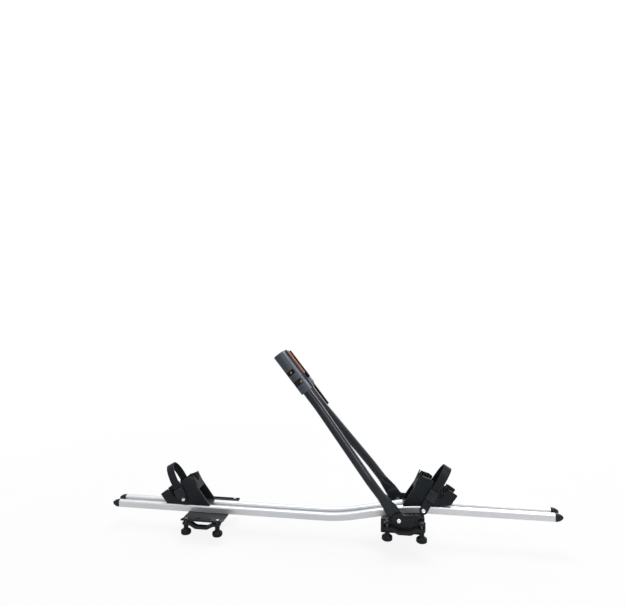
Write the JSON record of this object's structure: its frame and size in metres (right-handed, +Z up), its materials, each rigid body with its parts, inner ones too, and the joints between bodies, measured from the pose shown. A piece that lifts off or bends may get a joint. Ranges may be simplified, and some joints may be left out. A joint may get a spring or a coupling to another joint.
{
  "type": "roof mounted bike carrier",
  "caption": "Roof bike carrier: bent aluminium rail on two crossbar feet, folding clamp arms, sliding wheel cradles with strap and buckle, and knob-driven claws.",
  "frame": {"origin": "centre of the front foot's rubber seat, where it lies on the front crossbar", "axes": "+X along the rail towards the end that holds the front wheel, +Y away from the buckle side, +Z up"},
  "size_m": [1.34, 0.227, 0.5415],
  "materials": {
    "rail_aluminium": "satin anodised",
    "black_plastic": "fine grain",
    "cap_plastic": "smooth",
    "black_coat": "satin powder coat",
    "seat_rubber": "matt",
    "zinc_steel": "zinc plated",
    "knob_plastic": "matt",
    "insert_brass": "turned",
    "washer_nylon": "smooth",
    "jaw_plastic": "fine grain",
    "pad_rubber": "matt orange",
    "yellow_zinc": "yellow zinc",
    "rod_brass": "drawn",
    "lever_plastic": "smooth",
    "lock_chrome": "polished",
    "holder_plastic": "fine grain",
    "saddle_rubber": "matt",
    "strap_rubber": "satin",
    "buckle_plastic": "satin"
  },
  "bodies": {
    "carrier": {"rail": "rail_aluminium", "front_end_cap": "cap_plastic", "rear_end_cap": "cap_plastic", "front_foot": "black_coat", "front_seat_pad": "seat_rubber", "front_foot_bolts": "zinc_steel", "front_studs": "zinc_steel", "pivot_bolts": "zinc_steel", "pivot_washers": "washer_nylon", "front_holder": "holder_plastic", "front_saddles": "saddle_rubber", "front_holder_bolt": "zinc_steel", "front_strap": "strap_rubber", "front_buckle": "buckle_plastic"},
    "near_arm_set": {"near_arm": "black_coat", "near_jaw": "jaw_plastic", "near_jaw_pad": "pad_rubber", "near_jaw_screw": "yellow_zinc"},
    "far_arm_set": {"far_arm": "black_coat", "far_jaw": "jaw_plastic", "far_jaw_pad": "pad_rubber", "far_jaw_screw": "yellow_zinc", "clamp_rod": "rod_brass", "rod_barrel": "rod_brass"},
    "lever": {"clamp_lever": "lever_plastic", "lever_pin": "zinc_steel"},
    "lock": {"lock_barrel": "lock_chrome"},
    "rear_foot_set": {"rear_foot": "black_coat", "rear_seat_pad": "seat_rubber", "rear_foot_bolts": "zinc_steel", "rear_studs": "zinc_steel"},
    "rear_holder_set": {"rear_holder": "holder_plastic", "rear_saddles": "saddle_rubber", "rear_holder_bolt": "zinc_steel", "rear_strap": "strap_rubber", "rear_buckle": "buckle_plastic"},
    "front_release": {"front_button": "buckle_plastic"},
    "rear_release": {"rear_button": "buckle_plastic"},
    "front_near_claw_set": {"front_near_claw": "black_coat"},
    "front_near_back_knob_set": {"front_near_back_knob": "knob_plastic", "front_near_back_insert": "insert_brass"},
    "front_near_ahead_knob_set": {"front_near_ahead_knob": "knob_plastic", "front_near_ahead_insert": "insert_brass"},
    "front_far_claw_set": {"front_far_claw": "black_coat"},
    "front_far_back_knob_set": {"front_far_back_knob": "knob_plastic", "front_far_back_insert": "insert_brass"},
    "front_far_ahead_knob_set": {"front_far_ahead_knob": "knob_plastic", "front_far_ahead_insert": "insert_brass"},
    "rear_near_claw_set": {"rear_near_claw": "black_coat"},
    "rear_near_back_knob_set": {"rear_near_back_knob": "knob_plastic", "rear_near_back_insert": "insert_brass"},
    "rear_near_ahead_knob_set": {"rear_near_ahead_knob": "knob_plastic", "rear_near_ahead_insert": "insert_brass"},
    "rear_far_claw_set": {"rear_far_claw": "black_coat"},
    "rear_far_back_knob_set": {"rear_far_back_knob": "knob_plastic", "rear_far_back_insert": "insert_brass"},
    "rear_far_ahead_knob_set": {"rear_far_ahead_knob": "knob_plastic", "rear_far_ahead_insert": "insert_brass"}
  },
  "joints": [
    {"name": "arm_fold", "type": "hinge", "parent": "carrier", "child": "near_arm_set", "pos_m": [-0.015, 0, 0.046], "axis": [0, 1, 0], "range_deg": [-36, 35]},
    {"name": "jaw_spread", "type": "hinge", "parent": "near_arm_set", "child": "far_arm_set", "pos_m": [-0.015, 0.0815, 0.046], "axis": [-0.7826, 0, -0.6225], "range_deg": [0, 4.5]},
    {"name": "clamp_lever_turn", "type": "hinge", "parent": "far_arm_set", "child": "lever", "pos_m": [-0.3021, 0.0548, 0.41818], "axis": [0.7826, 0, 0.6225], "range_deg": [0, 110]},
    {"name": "key_lock", "type": "hinge", "parent": "lever", "child": "lock", "pos_m": [-0.24359, 0.05, 0.34462], "axis": [0, 1, 0], "range_deg": [0, 90]},
    {"name": "rear_foot_slide", "type": "slide", "parent": "carrier", "child": "rear_foot_set", "axis": [1, 0, 0], "range_m": [-0.2, 0.25]},
    {"name": "rear_holder_slide", "type": "slide", "parent": "carrier", "child": "rear_holder_set", "axis": [1, 0, 0], "range_m": [-0.12, 0.1]},
    {"name": "front_release_press", "type": "slide", "parent": "carrier", "child": "front_release", "axis": [0, 1, 0], "range_m": [0, 0.002], "stiffness_N_per_m": 600, "springref_m": -0.0005},
    {"name": "rear_release_press", "type": "slide", "parent": "rear_holder_set", "child": "rear_release", "axis": [0, 1, 0], "range_m": [0, 0.002], "stiffness_N_per_m": 600, "springref_m": -0.0005},
    {"name": "front_near_claw_travel", "type": "slide", "parent": "carrier", "child": "front_near_claw_set", "axis": [0, 0, 1], "range_m": [-0.024, 0.0015]},
    {"name": "front_near_back_knob_turn", "type": "hinge", "parent": "front_near_claw_set", "child": "front_near_back_knob_set", "pos_m": [-0.047, -0.0985, 0], "axis": [0, 0, 1], "range_deg": [-6912.5, 432.5]},
    {"name": "front_near_ahead_knob_turn", "type": "hinge", "parent": "front_near_claw_set", "child": "front_near_ahead_knob_set", "pos_m": [0.047, -0.0985, 0], "axis": [0, 0, 1], "range_deg": [-6912.5, 432.5]},
    {"name": "front_far_claw_travel", "type": "slide", "parent": "carrier", "child": "front_far_claw_set", "axis": [0, 0, 1], "range_m": [-0.024, 0.0015]},
    {"name": "front_far_back_knob_turn", "type": "hinge", "parent": "front_far_claw_set", "child": "front_far_back_knob_set", "pos_m": [-0.047, 0.0985, 0], "axis": [0, 0, 1], "range_deg": [-6912.5, 432.5]},
    {"name": "front_far_ahead_knob_turn", "type": "hinge", "parent": "front_far_claw_set", "child": "front_far_ahead_knob_set", "pos_m": [0.047, 0.0985, 0], "axis": [0, 0, 1], "range_deg": [-6912.5, 432.5]},
    {"name": "rear_near_claw_travel", "type": "slide", "parent": "rear_foot_set", "child": "rear_near_claw_set", "axis": [0, 0, 1], "range_m": [-0.024, 0.0015]},
    {"name": "rear_near_back_knob_turn", "type": "hinge", "parent": "rear_near_claw_set", "child": "rear_near_back_knob_set", "pos_m": [-0.636, -0.088, 0], "axis": [0, 0, 1], "range_deg": [-6912.5, 432.5]},
    {"name": "rear_near_ahead_knob_turn", "type": "hinge", "parent": "rear_near_claw_set", "child": "rear_near_ahead_knob_set", "pos_m": [-0.54, -0.088, 0], "axis": [0, 0, 1], "range_deg": [-6912.5, 432.5]},
    {"name": "rear_far_claw_travel", "type": "slide", "parent": "rear_foot_set", "child": "rear_far_claw_set", "axis": [0, 0, 1], "range_m": [-0.024, 0.0015]},
    {"name": "rear_far_back_knob_turn", "type": "hinge", "parent": "rear_far_claw_set", "child": "rear_far_back_knob_set", "pos_m": [-0.636, 0.088, 0], "axis": [0, 0, 1], "range_deg": [-6912.5, 432.5]},
    {"name": "rear_far_ahead_knob_turn", "type": "hinge", "parent": "rear_far_claw_set", "child": "rear_far_ahead_knob_set", "pos_m": [-0.54, 0.088, 0], "axis": [0, 0, 1], "range_deg": [-6912.5, 432.5]}
  ],
  "couplings": [
    {"joint": "front_near_back_knob_turn", "follows": "front_near_claw_travel", "rad_per_m": 5026.5},
    {"joint": "front_near_ahead_knob_turn", "follows": "front_near_claw_travel", "rad_per_m": 5026.5},
    {"joint": "front_far_back_knob_turn", "follows": "front_far_claw_travel", "rad_per_m": 5026.5},
    {"joint": "front_far_ahead_knob_turn", "follows": "front_far_claw_travel", "rad_per_m": 5026.5},
    {"joint": "rear_near_back_knob_turn", "follows": "rear_near_claw_travel", "rad_per_m": 5026.5},
    {"joint": "rear_near_ahead_knob_turn", "follows": "rear_near_claw_travel", "rad_per_m": 5026.5},
    {"joint": "rear_far_back_knob_turn", "follows": "rear_far_claw_travel", "rad_per_m": 5026.5},
    {"joint": "rear_far_ahead_knob_turn", "follows": "rear_far_claw_travel", "rad_per_m": 5026.5}
  ]
}
